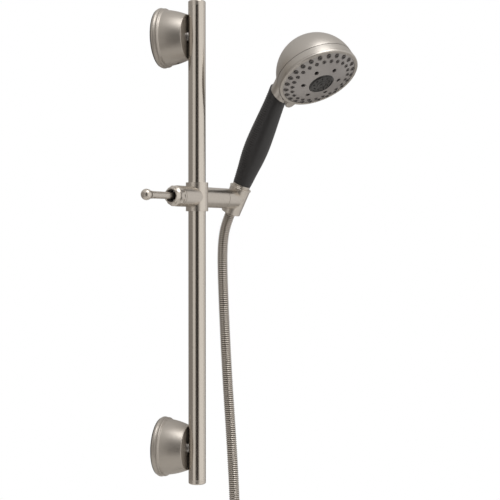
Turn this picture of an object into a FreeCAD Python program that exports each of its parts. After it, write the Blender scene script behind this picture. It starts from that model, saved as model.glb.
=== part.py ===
import FreeCAD, Part
import math
import os

import Sketcher
from FreeCAD import Placement, Rotation, Vector

# Slide-bar hand shower, in millimetres. +Z is up, the wall is the plane Y = 0, the room is at -Y, and
# the origin is midway between the two wall screws. A vertical bar stands on two bell flanges. A slider
# climbs and swivels on it, its lever works a brake shoe, and its cradle holds the hose's conical nut,
# which carries the handset.

document = FreeCAD.newDocument("hand_shower")
sheet = document.addObject("Spreadsheet::Sheet", "Sheet")

DRIVING_SIZES = {
    # bar and wall flanges
    "bar_radius": 11.0,
    "bar_wall": 1.2,
    "bar_overall": 610.0,
    "cap_height": 7.0,
    "wall_to_bar": 49.0,
    "mount_spacing": 520.0,
    "gasket_depth": 1.2,
    "rim_radius": 37.75,
    "bell_radius": 35.2,
    "bell_neck_radius": 28.3,
    "bell_curve": 95.0,
    "bell_wall": 2.4,
    "bell_gap": 0.3,
    "hub_radius": 10.4,
    "post_radius": 7.0,
    "wall_screw_radius": 2.75,
    # slider
    "slider_height": 58.1,
    "barrel_turn": 14.0,
    "sleeve_radius": 14.1,
    "sleeve_length": 36.0,
    "barrel_radius": 13.0,
    "barrel_left": 39.7,
    "barrel_right": 57.4,
    "running_gap": 0.05,
    "bush_radius": 12.3,
    "bush_length": 8.0,
    # locking lever
    "collar_end": 57.0,
    "collar_hole": 7.7,
    "lever_pivot": 49.0,
    "rod_radius": 4.5,
    "knob_radius": 6.8,
    "knob_reach": 105.5,
    # cradle
    "cup_reach": 91.5,
    "cup_above": 17.0,
    "cup_below": 20.0,
    "cup_top_radius": 13.8,
    "cup_bottom_radius": 12.8,
    "bore_top_radius": 12.0,
    "bore_bottom_radius": 10.6,
    "lean": 25.59,
    # handset
    "handset_turn": -13.19,
    "face_tilt": 32.04,
    "head_along": 191.2,
    "head_forward": 56.07,
    "grip_bore": 10.5,
    "grip_bottom": 21.2,
    "grip_top": 151.2,
    "grip_slant": 30.5,
    "face_rim_radius": 52.6,
    "dome_radius": 51.05,
    "dome_centre": 8.45,
    "shell_wall": 2.4,
    "seam_depth": 13.5,
    "seam_radius": 50.8,
    "face_sphere": 126.0,
    "face_bulge": 9.6,
    "face_radius": 48.0,
    "outer_nozzle_circle": 44.5,
    "inner_nozzle_circle": 37.3,
    "outer_nozzle_radius": 3.1,
    "inner_nozzle_radius": 2.6,
    "spray_hole_circle": 24.5,
    "insert_radius": 16.3,
    # hose
    "hose_radius": 7.0,
    "coil_radius": 70.0,
}
NOZZLES_PER_ROW = 24
SPRAY_HOLES = 6
COLLAR_FACETS = 12
COIL_TURNS = 3
COIL_ROWS = COIL_TURNS + 1


class Size:
    """A length or angle kept with its formula, so a sketch or a feature can be bound to the sheet."""

    def __init__(self, formula, value):
        self.formula = formula
        self.value = value

    def joined(self, sign, other, value, swapped=False):
        first, second = self.formula, as_size(other).formula
        if swapped:
            first, second = second, first
        return Size(f"({first} {sign} {second})", value)

    def __add__(self, other):
        return self.joined("+", other, self.value + as_size(other).value)

    __radd__ = __add__

    def __sub__(self, other):
        return self.joined("-", other, self.value - as_size(other).value)

    def __rsub__(self, other):
        return self.joined("-", other, as_size(other).value - self.value, swapped=True)

    def __mul__(self, other):
        return self.joined("*", other, self.value * as_size(other).value)

    __rmul__ = __mul__

    def __truediv__(self, other):
        return self.joined("/", other, self.value / as_size(other).value)

    def __neg__(self):
        return Size(f"(0 - {self.formula})", -self.value)


def as_size(number):
    return number if isinstance(number, Size) else Size(f"({float(number):.6g})", float(number))


class Sheet:
    """The driving sizes as attributes."""


d = Sheet()
for row, (alias, number) in enumerate(DRIVING_SIZES.items(), start=1):
    sheet.set(f"A{row}", alias)
    sheet.set(f"B{row}", str(number))
    sheet.setAlias(f"B{row}", alias)
    setattr(d, alias, Size(f"Sheet.{alias}", number))
document.recompute()


# ---------------------------------------------------------------- frames

def framed(origin, z_axis, x_axis):
    """The placement with this origin, local Z and local X."""
    return Placement(origin, Rotation(x_axis, z_axis.cross(x_axis), z_axis, "ZXY"))


UP = Vector(0, 0, 1)
ROOM = Vector(0, -1, 0)
turn = math.radians(d.barrel_turn.value)
lean = math.radians(d.lean.value)
twist = math.radians(d.handset_turn.value)
tilt = math.radians(d.face_tilt.value)

barrel_axis = Vector(math.cos(turn), -math.sin(turn), 0)
outward = barrel_axis.cross(UP)
handset_axis = UP * math.cos(lean) + outward * math.sin(lean)
lean_front = outward * math.cos(lean) - UP * math.sin(lean)
front = lean_front * math.cos(twist) + barrel_axis * math.sin(twist)
spray_axis = front * math.cos(tilt) - handset_axis * math.sin(tilt)
spray_up = handset_axis * math.cos(tilt) + front * math.sin(tilt)

slider_origin = Vector(0, -d.wall_to_bar.value, d.slider_height.value)
cup_origin = slider_origin + barrel_axis * d.cup_reach.value
head_origin = cup_origin + handset_axis * d.head_along.value + front * d.head_forward.value

BAR = Placement(Vector(0, -d.wall_to_bar.value, 0), Rotation())
SLEEVE = Placement(slider_origin, Rotation())
SLIDER = framed(slider_origin, barrel_axis, UP)
CRADLE = framed(cup_origin, handset_axis, barrel_axis)
HANDSET = framed(cup_origin, handset_axis, front)
HEAD = framed(head_origin, spray_axis, spray_up)


def wall_frame(side):
    """Local Z runs from the wall into the room at the upper (+1) or lower (-1) wall screw."""
    return framed(UP * (side * d.mount_spacing.value / 2), ROOM, Vector(1, 0, 0))


# ---------------------------------------------------------------- sketches and features

finished = {}


def keep(label, thing):
    """Register a finished sub-part under the name of its file."""
    thing.Label = label
    finished[label] = thing
    return thing


def new_body(label, place, several=False):
    body = document.addObject("PartDesign::Body", label)
    body.Placement = place
    if several:
        body.AllowCompound = True
    return body


def origin_plane(body, role):
    return next(item for item in body.Origin.OriginFeatures if item.Role == role)


def new_sketch(body, role, name, offset=None):
    sketch = body.newObject("Sketcher::SketchObject", name)
    sketch.AttachmentSupport = [(origin_plane(body, role), "")]
    sketch.MapMode = "FlatFace"
    if offset is not None:
        sketch.AttachmentOffset = offset
    return sketch


def bind_constraint(sketch, constraint, size):
    index = sketch.addConstraint(constraint)
    if "Sheet" in size.formula:
        sketch.setExpression(f"Constraints[{index}]", size.formula)


def pin_point(sketch, edge, end, across, along):
    """Fix a point by its two coordinates. A coordinate of zero puts it on the axis."""
    for kind, axis, size in (("DistanceX", -2, across), ("DistanceY", -1, along)):
        if size.value == 0 and "Sheet" not in size.formula:
            sketch.addConstraint(Sketcher.Constraint("PointOnObject", edge, end, axis))
        else:
            bind_constraint(sketch, Sketcher.Constraint(kind, -1, 1, edge, end, size.value), size)


def arc_between(start, end, radius):
    """The arc from start to end; a positive radius travels counter-clockwise."""
    chord = end - start
    half = chord.Length / 2
    height = math.sqrt(max(radius * radius - half * half, 0.0))
    left = Vector(-chord.y, chord.x, 0).normalize()
    centre = start + chord * 0.5 + left * (height if radius > 0 else -height)
    first, last = (start, end) if radius > 0 else (end, start)
    angles = [math.atan2(point.y - centre.y, point.x - centre.x) for point in (first, last)]
    if angles[1] < angles[0]:
        angles[1] += 2 * math.pi
    circle = Part.Circle(centre, Vector(0, 0, 1), abs(radius))
    return Part.ArcOfCircle(circle, angles[0], angles[1])


def draw_outline(sketch, corners):
    """Draw a closed outline. A corner is (across, along), or (across, along, radius) before an arc."""
    spots = [(as_size(corner[0]), as_size(corner[1])) for corner in corners]
    radii = [as_size(corner[2]) if len(corner) > 2 else None for corner in corners]
    points = [Vector(across.value, along.value, 0) for across, along in spots]
    ends = []
    for index, radius in enumerate(radii):
        start, end = points[index], points[(index + 1) % len(points)]
        if radius is None:
            edge = sketch.addGeometry(Part.LineSegment(start, end), False)
            ends.append((edge, 1, 2))
        else:
            edge = sketch.addGeometry(arc_between(start, end, radius.value), False)
            ends.append((edge, 1, 2) if radius.value > 0 else (edge, 2, 1))
    for index, (edge, first, last) in enumerate(ends):
        following = ends[(index + 1) % len(ends)]
        joint = Sketcher.Constraint("Coincident", edge, last, following[0], following[1])
        sketch.addConstraint(joint)
        pin_point(sketch, edge, first, *spots[index])
        if radii[index] is not None:
            plain = radii[index] if radii[index].value > 0 else -radii[index]
            bind_constraint(sketch, Sketcher.Constraint("Radius", edge, plain.value), plain)


def draw_circle(sketch, across, along, radius):
    across, along, radius = as_size(across), as_size(along), as_size(radius)
    centre = Vector(across.value, along.value, 0)
    edge = sketch.addGeometry(Part.Circle(centre, Vector(0, 0, 1), radius.value), False)
    pin_point(sketch, edge, 3, across, along)
    bind_constraint(sketch, Sketcher.Constraint("Radius", edge, radius.value), radius)


def draw_box(sketch, left, right, bottom, top):
    draw_outline(sketch, [(left, bottom), (right, bottom), (right, top), (left, top)])


def volume(body):
    document.recompute()
    return body.Shape.Volume


def spin(body, name, corners, cut=False, offset=None):
    """Turn an outline, drawn as (radius, height), about local Z, or cut a turned groove."""
    before = volume(body) if cut else 0
    sketch = new_sketch(body, "XZ_Plane", f"{name}_outline", offset)
    draw_outline(sketch, corners)
    kind = "PartDesign::Groove" if cut else "PartDesign::Revolution"
    feature = body.newObject(kind, name)
    feature.Profile = sketch
    feature.ReferenceAxis = (sketch, ["V_Axis"])
    feature.Angle = 360.0
    document.recompute()
    if cut and not volume(body) < before - 1e-6:
        raise RuntimeError(f"{name} removes nothing")
    return feature


def extrude(body, name, role, draw, start, length, cut=False, within=None):
    """Pad or pocket what draw(sketch) draws, from start along the normal of the plane, or of within."""
    start, length = as_size(start), as_size(length)
    before = volume(body) if cut else 0
    offset = Placement(Vector(0, 0, start.value), Rotation())
    if within is not None:
        offset = within.multiply(offset)
    sketch = new_sketch(body, role, f"{name}_outline", offset)
    if "Sheet" in start.formula:
        sketch.setExpression("AttachmentOffset.Base.z", start.formula)
    draw(sketch)
    feature = body.newObject("PartDesign::Pocket" if cut else "PartDesign::Pad", name)
    feature.Profile = sketch
    feature.Length = length.value
    if "Sheet" in length.formula:
        feature.setExpression("Length", length.formula)
    feature.Reversed = cut
    document.recompute()
    if cut and not volume(body) < before - 1e-6:
        raise RuntimeError(f"{name} removes nothing")
    return feature


def repeat_round(body, name, features, count, role="Z_Axis"):
    pattern = body.newObject("PartDesign::PolarPattern", name)
    pattern.Originals = features
    pattern.Axis = (origin_plane(body, role), [""])
    pattern.Angle = 360.0
    pattern.Occurrences = count
    body.Tip = pattern
    document.recompute()
    return pattern


def turned_part(label, place, corners):
    body = new_body(label, place)
    spin(body, f"{label}_turned", corners)
    return keep(label, body)


def ring_part(label, place, inner, outer, bottom, top):
    corners = [(inner, bottom), (outer, bottom), (outer, top), (inner, top)]
    return turned_part(label, place, corners)


def grouped(label, bodies):
    """One node of separate identical solids."""
    compound = document.addObject("Part::Compound", label)
    compound.Links = bodies
    return keep(label, compound)


# ---------------------------------------------------------------- bar and wall flanges

tube_half = d.bar_overall / 2 - d.cap_height
tube_bore = d.bar_radius - d.bar_wall
SCREW_CLEARANCE = 3.2
SCREW_RADIUS = 3.0
CROWN_FLAT = 1.0


def make_slide_bar():
    body = new_body("slide_bar", BAR)

    def tube(sketch):
        draw_circle(sketch, 0, 0, d.bar_radius)
        draw_circle(sketch, 0, 0, tube_bore)

    def screw_holes(sketch):
        for side in (1, -1):
            draw_circle(sketch, 0, d.mount_spacing * side / 2, SCREW_CLEARANCE)

    extrude(body, "tube", "XY_Plane", tube, -tube_half, tube_half * 2)
    extrude(body, "screw_holes", "XZ_Plane", screw_holes, -d.bar_radius - 1, 5, cut=True)
    keep("slide_bar", body)


def make_end_cap(label, side):
    """A plug in the tube under a low crowned top; local Z points out of the bar."""
    end = Vector(0, 0, side * tube_half.value)
    flip = Rotation(Vector(1, 0, 0), 0 if side > 0 else 180)
    place = BAR.multiply(Placement(end, flip))
    corner = 1.6
    corners = [
        (0, -12),
        (tube_bore, -12),
        (tube_bore, 0),
        (d.bar_radius, 0),
        (d.bar_radius, d.cap_height - corner - 0.5, corner),
        (d.bar_radius - corner, d.cap_height - 0.5, 90),
        (CROWN_FLAT, d.cap_height),
        (0, d.cap_height),
    ]
    turned_part(label, place, corners)


def make_bar_insert(label, side):
    """A slug inside the tube, tapped from the wall side for the post screw."""
    middle = Vector(0, 0, side * d.mount_spacing.value / 2)
    body = new_body(label, BAR.multiply(Placement(middle, Rotation())))
    spin(body, f"{label}_slug", [(0, -13), (tube_bore, -13), (tube_bore, 13), (0, 13)])

    def tapped(sketch):
        draw_circle(sketch, 0, 0, SCREW_RADIUS + d.running_gap)

    extrude(body, f"{label}_thread", "XZ_Plane", tapped, -d.bar_radius, 16, cut=True)
    keep(label, body)


flange_front = d.wall_to_bar - d.bar_radius - d.bell_gap
HUB_END = 30.0
SET_SCREW_HEIGHT = 24.0
BOSS_RADIUS = 15.0


def make_wall_bracket(label, side):
    """A wall plate with a hub; the wall screw goes through the middle, inside the hub."""
    socket = d.post_radius + d.running_gap
    corners = [
        (d.wall_screw_radius, 0),
        (25, 0),
        (25, 4),
        (d.hub_radius, 4),
        (d.hub_radius, HUB_END),
        (socket, HUB_END),
        (socket, 5),
        (d.wall_screw_radius, 5),
    ]
    turned_part(label, wall_frame(side), corners)


def make_post(label, side):
    """The turned post between the hub's socket and the saddle against the bar's back."""
    body = new_body(label, wall_frame(side))
    corners = [
        (SCREW_CLEARANCE, 20),
        (5.4, 20),
        (5.4, 12),
        (d.post_radius, 12),
        (d.post_radius, d.wall_to_bar - 6),
        (SCREW_CLEARANCE, d.wall_to_bar - 6),
    ]
    spin(body, f"{label}_turned", corners)

    def bar_saddle(sketch):
        draw_circle(sketch, 0, d.wall_to_bar, d.bar_radius)

    extrude(body, f"{label}_saddle", "XZ_Plane", bar_saddle, -20, 40, cut=True)
    keep(label, body)


def make_flange(label, side):
    """The bell shell: a double bead at the wall, a crowned cone and a flat front behind the bar."""
    body = new_body(label, wall_frame(side))
    rim = d.rim_radius
    wall = d.bell_wall
    boss_bore = d.hub_radius + 0.1
    corners = [
        (rim - 2.8, d.gasket_depth),
        (rim - 0.6, d.gasket_depth, 3.0),
        (rim - 0.5, 5.2, 1.2),
        (rim - 1.2, 6.4),
        (rim - 1.2, 6.9, 1.5),
        (rim - 1.5, 9.6),
        (d.bell_radius, 10.8, d.bell_curve),
        (d.bell_neck_radius, flange_front - 1, 1.0),
        (d.bell_neck_radius - 1, flange_front),
        (d.post_radius + 0.4, flange_front),
        (d.post_radius + 0.4, flange_front - 3),
        (boss_bore, flange_front - 3),
        (boss_bore, 18),
        (BOSS_RADIUS, 18),
        (BOSS_RADIUS, flange_front - 3),
        (d.bell_neck_radius - wall, flange_front - 3, -d.bell_curve),
        (d.bell_radius - wall, 10.8),
    ]
    spin(body, f"{label}_bell", corners)

    def driver_hole(sketch):
        draw_circle(sketch, 0, SET_SCREW_HEIGHT, 2.6)

    extrude(body, f"{label}_driver_hole", "XZ_Plane", driver_hole, d.hub_radius - 0.5, 40, cut=True)
    keep(label, body)


def make_gasket(label, side):
    rim = d.rim_radius
    ring_part(label, wall_frame(side), rim - 5.5, rim - 1.2, 0, d.gasket_depth)


def make_post_screw(side):
    """A socket head screw from behind the post into the bar's insert."""
    body = new_body("post_screw", wall_frame(side))
    corners = [
        (0, 16),
        (2.2, 17.2),
        (2.2, 14),
        (4.9, 14),
        (4.9, 20),
        (SCREW_RADIUS, 20),
        (SCREW_RADIUS, d.wall_to_bar + 3),
        (0, d.wall_to_bar + 3),
    ]
    spin(body, "screw", corners)
    return body


def make_set_screw(side):
    """A grub screw in the flange's boss, biting on the bracket's hub from below."""
    below = Placement(Vector(0, 0, SET_SCREW_HEIGHT), Rotation(Vector(1, 0, 0), 90))
    body = new_body("set_screw", wall_frame(side).multiply(below))
    start = d.hub_radius
    corners = [(0, start), (2.4, start), (2.4, start + 4.5), (1.2, start + 4.5), (0, start + 2.5)]
    spin(body, "grub", corners)
    return body


make_slide_bar()
for position, side in (("upper", 1), ("lower", -1)):
    make_end_cap(f"{position}_end_cap", side)
    make_bar_insert(f"{position}_bar_insert", side)
    make_wall_bracket(f"{position}_wall_bracket", side)
    make_post(f"{position}_post", side)
    make_flange(f"{position}_flange", side)
    make_gasket(f"{position}_flange_gasket", side)
grouped("post_screws", [make_post_screw(1), make_post_screw(-1)])
grouped("flange_set_screws", [make_set_screw(1), make_set_screw(-1)])


# ---------------------------------------------------------------- slider

sleeve_half = d.sleeve_length / 2
bush_bore = d.bush_radius + d.running_gap
BUSH_RECESS = 0.6
LEFT_BORE = 9.2
SPIGOT_DEPTH = 12.4
spigot_bore = 8.6


def make_slider_body():
    """A vertical sleeve round the bar crossed by a barrel, with a bore in each end of the barrel."""
    body = new_body("slider_body", SLIDER)
    barrel = [
        (0, -d.barrel_left),
        (d.barrel_radius, -d.barrel_left),
        (d.barrel_radius, d.barrel_right - 0.4),
        (d.barrel_radius - 0.4, d.barrel_right),
        (0, d.barrel_right),
    ]
    spin(body, "barrel", barrel)

    def sleeve(sketch):
        draw_circle(sketch, 0, 0, d.sleeve_radius)

    def bar_bore(sketch):
        draw_circle(sketch, 0, 0, d.bar_radius + 0.5)

    def bush_seat(sketch):
        draw_circle(sketch, 0, 0, bush_bore)

    extrude(body, "sleeve", "YZ_Plane", sleeve, -sleeve_half, d.sleeve_length)
    extrude(body, "bar_bore", "YZ_Plane", bar_bore, -sleeve_half - 1, d.sleeve_length + 2, cut=True)
    seat_depth = d.bush_length + BUSH_RECESS
    extrude(body, "low_seat", "YZ_Plane", bush_seat, -sleeve_half - 1, seat_depth + 1, cut=True)
    extrude(body, "high_seat", "YZ_Plane", bush_seat, sleeve_half - seat_depth, seat_depth + 1, cut=True)
    left = [(0, -d.barrel_left - 1), (LEFT_BORE, -d.barrel_left - 1), (LEFT_BORE, -15.5), (5.1, -15.5)]
    spin(body, "left_bore", left + [(5.1, -9), (0, -9)], cut=True)
    right = [(0, 24), (SCREW_RADIUS + d.running_gap, 24), (SCREW_RADIUS + d.running_gap, 42)]
    right += [(spigot_bore, 42), (spigot_bore, d.barrel_right + 1), (0, d.barrel_right + 1)]
    spin(body, "right_bore", right, cut=True)
    keep("slider_body", body)


def make_bush(label, side):
    """A nylon bush at one end of the sleeve, running on the bar."""
    outer_end = sleeve_half - BUSH_RECESS
    inner, outer = d.bar_radius + d.running_gap, d.bush_radius
    near, far = (outer_end - d.bush_length) * side, outer_end * side
    bottom, top = (near, far) if side > 0 else (far, near)
    ring_part(label, SLEEVE, inner, outer, bottom, top)


shoe_face = d.bar_radius + d.running_gap
LEVER_NOSE = 10.0
NOSE_GAP = 0.15


def make_brake_shoe():
    """A plunger whose hollow face grips the bar; its stem reaches back to the lever's nose."""
    body = new_body("brake_shoe", SLIDER)
    stem_end = d.lever_pivot - LEVER_NOSE - NOSE_GAP
    corners = [
        (0, -stem_end),
        (2.8, -stem_end),
        (2.8, -22),
        (5.0, -22),
        (5.0, -10.2),
        (0, -10.2),
    ]
    spin(body, "plunger", corners)

    def bar_hollow(sketch):
        draw_circle(sketch, 0, 0, shoe_face)

    extrude(body, "grip_face", "YZ_Plane", bar_hollow, -20, 40, cut=True)
    keep("brake_shoe", body)


def make_brake_spring():
    """The stack of disc springs round the shoe's stem, as one folded ring."""
    low, high = -32.4, -22.9
    inner, outer = 3.3, 4.7
    thick = 0.5
    folds = 8
    rise = (high - low - thick) / folds
    spots = [(outer if index % 2 else inner, low + rise * index) for index in range(folds + 1)]
    corners = spots + [(across, along + thick) for across, along in reversed(spots)]
    turned_part("brake_spring", SLIDER, corners)


YOKE_END = 52.5


def make_lever_yoke():
    """The brass insert in the barrel's mouth that carries the lever's pin and backs the spring."""
    body = new_body("lever_yoke", SLIDER)
    corners = [
        (3.3, -33),
        (3.3, -35.5),
        (6.1, -41),
        (6.1, -YOKE_END),
        (9.1, -YOKE_END),
        (9.1, -33),
    ]
    spin(body, "yoke_shell", corners)

    def pin_hole(sketch):
        draw_circle(sketch, 0, -d.lever_pivot, 1.5)

    extrude(body, "pin_hole", "YZ_Plane", pin_hole, -12, 24, cut=True)
    keep("lever_yoke", body)


def make_lever_pin():
    """A vertical pin through the yoke and the lever's hub."""
    place = SLIDER.multiply(Placement(Vector(0, 0, -d.lever_pivot.value), Rotation(Vector(0, 1, 0), 90)))
    turned_part("lever_pin", place, [(0, -8.8), (1.5, -8.8), (1.5, 8.8), (0, 8.8)])


def make_tension_collar():
    """The fluted collar on the barrel's mouth, with a rounded end and a round hole for the lever."""
    body = new_body("tension_collar", SLIDER)
    near = d.barrel_left + 0.35
    corners = [
        (9.4, -near),
        (9.4, -53.2),
        (d.collar_hole, -53.2),
        (d.collar_hole, -d.collar_end + 0.4),
        (d.collar_hole + 0.4, -d.collar_end),
        (9.2, -d.collar_end, -9.0),
        (d.barrel_radius, -50.0),
        (d.barrel_radius, -near - 0.5),
        (d.barrel_radius - 0.5, -near),
    ]
    spin(body, "collar", corners)

    def flute(sketch):
        draw_circle(sketch, d.barrel_radius + 15.4, 0, 16)

    cut = extrude(body, "flute", "XY_Plane", flute, -60, 16.5, cut=True)
    repeat_round(body, "flutes", [cut], COLLAR_FACETS)
    keep("tension_collar", body)


def make_lever_rod():
    """The lever: a nose towards the shoe, a ball hub on the pin and a rod out to the knob."""
    body = new_body("lever_rod", SLIDER)
    pivot = d.lever_pivot
    hub = 5.2
    neck = 4.1
    hub_side = math.sqrt(hub * hub - neck * neck)
    nose = 1.6
    corners = [
        (0, -pivot + LEVER_NOSE),
        (0, -d.knob_reach),
        (2.9, -d.knob_reach),
        (2.9, -d.knob_reach + 6),
        (4.9, -d.knob_reach + 6),
        (d.rod_radius, -d.knob_reach + 14),
        (neck + 0.2, -pivot - 6),
        (neck, -pivot - hub_side, hub),
        (1.6, -pivot + math.sqrt(hub * hub - 1.6 * 1.6)),
        (nose, -pivot + LEVER_NOSE - nose, nose),
    ]
    spin(body, "lever", corners)

    def pin_hole(sketch):
        draw_circle(sketch, 0, -pivot, 1.5 + d.running_gap)

    extrude(body, "hub_hole", "YZ_Plane", pin_hole, -12, 24, cut=True)
    keep("lever_rod", body)


def make_lever_knob():
    """The ball on the end of the lever, bored for the rod's tip."""
    radius = d.knob_radius
    place = SLIDER.multiply(Placement(Vector(0, 0, -d.knob_reach.value), Rotation()))
    mouth = 4.4
    height = math.sqrt(radius.value**2 - mouth**2)
    flat = 2.6
    back = math.sqrt(radius.value**2 - flat**2)
    corners = [
        (0, -back),
        (flat, -back, radius),
        (mouth, height),
        (2.95, height),
        (2.95, 0),
        (0, 0),
    ]
    turned_part("lever_knob", place, corners)


SCREW_HEAD_SEAT = 75.0


def make_pivot_screw():
    """The screw that holds the cradle to the barrel."""
    corners = [
        (0, 26),
        (SCREW_RADIUS, 26),
        (SCREW_RADIUS, SCREW_HEAD_SEAT + 0.9),
        (4.6, SCREW_HEAD_SEAT + 0.9),
        (4.6, SCREW_HEAD_SEAT + 3.9),
        (1.6, SCREW_HEAD_SEAT + 3.9),
        (1.6, SCREW_HEAD_SEAT + 2.0),
        (0, SCREW_HEAD_SEAT + 1.2),
    ]
    turned_part("pivot_screw", SLIDER, corners)


make_slider_body()
make_bush("upper_bush", 1)
make_bush("lower_bush", -1)
make_brake_shoe()
make_brake_spring()
make_lever_yoke()
make_lever_pin()
make_tension_collar()
make_lever_rod()
make_lever_knob()
make_pivot_screw()
ring_part("pivot_washer", SLIDER, 3.1, 5.2, SCREW_HEAD_SEAT + 0.05, SCREW_HEAD_SEAT + 0.9)
ring_part("friction_washer", SLIDER, 3.3, 8.4, 42, 44.8)


# ---------------------------------------------------------------- cradle and hose end

cone_slope = (d.bore_top_radius - d.bore_bottom_radius) / (d.cup_above + d.cup_below)
CONE_GAP = 0.15
SEAM_GAP = 0.35
NUT_TOP = 19.0
FERRULE_SEAT = 2.0
WASHER_SEAT = 4.5
WASHER_TOP = 6.5
thread_bore = 10.35
nut_bottom = -d.cup_below + 0.5


def cone_radius(height):
    """The cup's bore at this height above the barrel's axis."""
    return d.bore_bottom_radius + cone_slope * (d.cup_below + height)


def make_cradle():
    """The tapered cup on its stub, with a spigot in the barrel and a slot the hose passes through."""
    body = new_body("cradle", CRADLE)
    lip = 0.75
    cup = [
        (0, -d.cup_below),
        (d.cup_bottom_radius - 0.4, -d.cup_below),
        (d.cup_bottom_radius, -d.cup_below + 0.4),
        (d.cup_top_radius, d.cup_above - 1.7),
        (d.cup_top_radius + lip, d.cup_above - 1.3),
        (d.cup_top_radius + lip, d.cup_above - 0.3),
        (d.cup_top_radius + lip - 0.3, d.cup_above),
        (0, d.cup_above),
    ]
    spin(body, "cup", cup)
    stub_start = d.barrel_right - d.cup_reach + SEAM_GAP
    spigot_start = 45 - d.cup_reach

    def stub(sketch):
        draw_circle(sketch, 0, 0, d.barrel_radius)

    def spigot(sketch):
        draw_circle(sketch, 0, 0, spigot_bore - d.running_gap)

    def screw_bore(sketch):
        draw_circle(sketch, 0, 0, SCREW_RADIUS + 0.3)

    def head_bore(sketch):
        draw_circle(sketch, 0, 0, 5.4)

    def hose_slot(sketch):
        half = d.hose_radius + 0.5
        draw_box(sketch, -half, half, -d.cup_below - 1, d.cup_above + 1)

    extrude(body, "stub", "YZ_Plane", stub, stub_start, -stub_start - 6)
    extrude(body, "spigot", "YZ_Plane", spigot, spigot_start, stub_start - spigot_start + 1)
    bore = [
        (0, -d.cup_below - 1),
        (cone_radius(-d.cup_below - 1), -d.cup_below - 1),
        (cone_radius(d.cup_above + 1), d.cup_above + 1),
        (0, d.cup_above + 1),
    ]
    spin(body, "tapered_bore", bore, cut=True)
    extrude(body, "screw_bore", "YZ_Plane", screw_bore, spigot_start - 1, 40, cut=True)
    head_seat = SCREW_HEAD_SEAT - d.cup_reach
    extrude(body, "head_bore", "YZ_Plane", head_bore, head_seat, 8, cut=True)
    extrude(body, "hose_slot", "YZ_Plane", hose_slot, 2, 16, cut=True)
    keep("cradle", body)


def make_hose_nut():
    """The hose's conical nut, seated in the cup, with the handset's thread inside its top."""
    corners = [
        (d.hose_radius + 0.35, nut_bottom),
        (cone_radius(nut_bottom) - CONE_GAP, nut_bottom),
        (cone_radius(NUT_TOP - 0.6) - CONE_GAP, NUT_TOP - 0.6),
        (cone_radius(NUT_TOP - 0.6) - CONE_GAP - 0.6, NUT_TOP),
        (thread_bore, NUT_TOP),
        (thread_bore, FERRULE_SEAT),
        (d.hose_radius + 0.35, FERRULE_SEAT),
    ]
    turned_part("hose_cone_nut", CRADLE, corners)


def make_hose_ferrule():
    """The crimped end of the hose, which swivels in the nut on its collar."""
    corners = [
        (4.0, nut_bottom),
        (d.hose_radius + 0.3, nut_bottom),
        (d.hose_radius + 0.3, FERRULE_SEAT),
        (thread_bore - 0.15, FERRULE_SEAT),
        (thread_bore - 0.15, WASHER_SEAT),
        (4.0, WASHER_SEAT),
    ]
    turned_part("hose_ferrule", CRADLE, corners)


make_cradle()
make_hose_nut()
make_hose_ferrule()
ring_part("hose_washer", CRADLE, 5.4, thread_bore - 0.15, WASHER_SEAT, WASHER_TOP)


# ---------------------------------------------------------------- handset

NIPPLE_BORE = 5.2
CORE_TOP = 144.0
SOCKET_BOTTOM = 117.0
CORE_BORE = 7.45
SPIGOT_RADIUS = 8.5
core_radius = d.grip_bore - 0.1

# Grip radii at heights above the barrel's axis.
GRIP_SECTIONS = (
    (21.2, 11.9),
    (30.0, 12.9),
    (42.0, 14.0),
    (58.0, 15.8),
    (76.0, 16.6),
    (97.0, 15.9),
    (116.0, 14.7),
    (134.0, 13.6),
    (162.0, 12.9),
)


def make_inlet_nipple():
    """The threaded metal inlet below the grip."""
    corners = [
        (NIPPLE_BORE, WASHER_TOP + d.running_gap),
        (thread_bore - 0.07, WASHER_TOP + d.running_gap),
        (thread_bore - 0.07, NUT_TOP + 0.3),
        (11.7, NUT_TOP + 0.3),
        (11.7, d.grip_bottom),
        (CORE_BORE - 0.05, d.grip_bottom),
        (CORE_BORE - 0.05, 40),
        (NIPPLE_BORE, 40),
    ]
    turned_part("inlet_nipple", HANDSET, corners)


def make_check_valve():
    """A one-way cartridge with a poppet's stem in the inlet."""
    wall = NIPPLE_BORE - 0.05
    corners = [(0, 10.5), (wall, 10.5), (wall, 18), (3.2, 18), (3.2, 20), (0, 20)]
    turned_part("check_valve", HANDSET, corners)


def make_handle_core():
    corners = [
        (CORE_BORE, d.grip_bottom),
        (core_radius, d.grip_bottom),
        (core_radius, CORE_TOP),
        (SPIGOT_RADIUS + 0.1, CORE_TOP),
        (SPIGOT_RADIUS + 0.1, SOCKET_BOTTOM),
        (CORE_BORE, SOCKET_BOTTOM),
    ]
    turned_part("handle_core", HANDSET, corners)


def above_slant(sketch):
    slope = math.tan(math.radians(d.grip_slant.value))
    reach = 40.0
    high, low = d.grip_top.value + slope * reach, d.grip_top.value - slope * reach
    draw_outline(sketch, [(-reach, high), (reach, low), (reach, high + 40), (-reach, high + 40)])


def make_rubber_grip():
    """The soft grip: a swelling sleeve with a slanted top end."""
    body = new_body("rubber_grip", HANDSET)
    sections = []
    for index, (height, radius) in enumerate(GRIP_SECTIONS):
        place = Placement(Vector(0, 0, height), Rotation())
        sketch = new_sketch(body, "XY_Plane", f"grip_section_{index}", place)
        draw_circle(sketch, 0, 0, radius)
        sections.append(sketch)
    document.recompute()
    loft = body.newObject("PartDesign::AdditiveLoft", "swelling")
    loft.Profile = sections[0]
    loft.Sections = sections[1:]
    loft.Ruled = False
    document.recompute()

    def bore(sketch):
        draw_circle(sketch, 0, 0, d.grip_bore)

    extrude(body, "core_bore", "XY_Plane", bore, 10, 160, cut=True)
    extrude(body, "slanted_top", "XZ_Plane", above_slant, -40, 80, cut=True)
    keep("rubber_grip", body)


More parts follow.
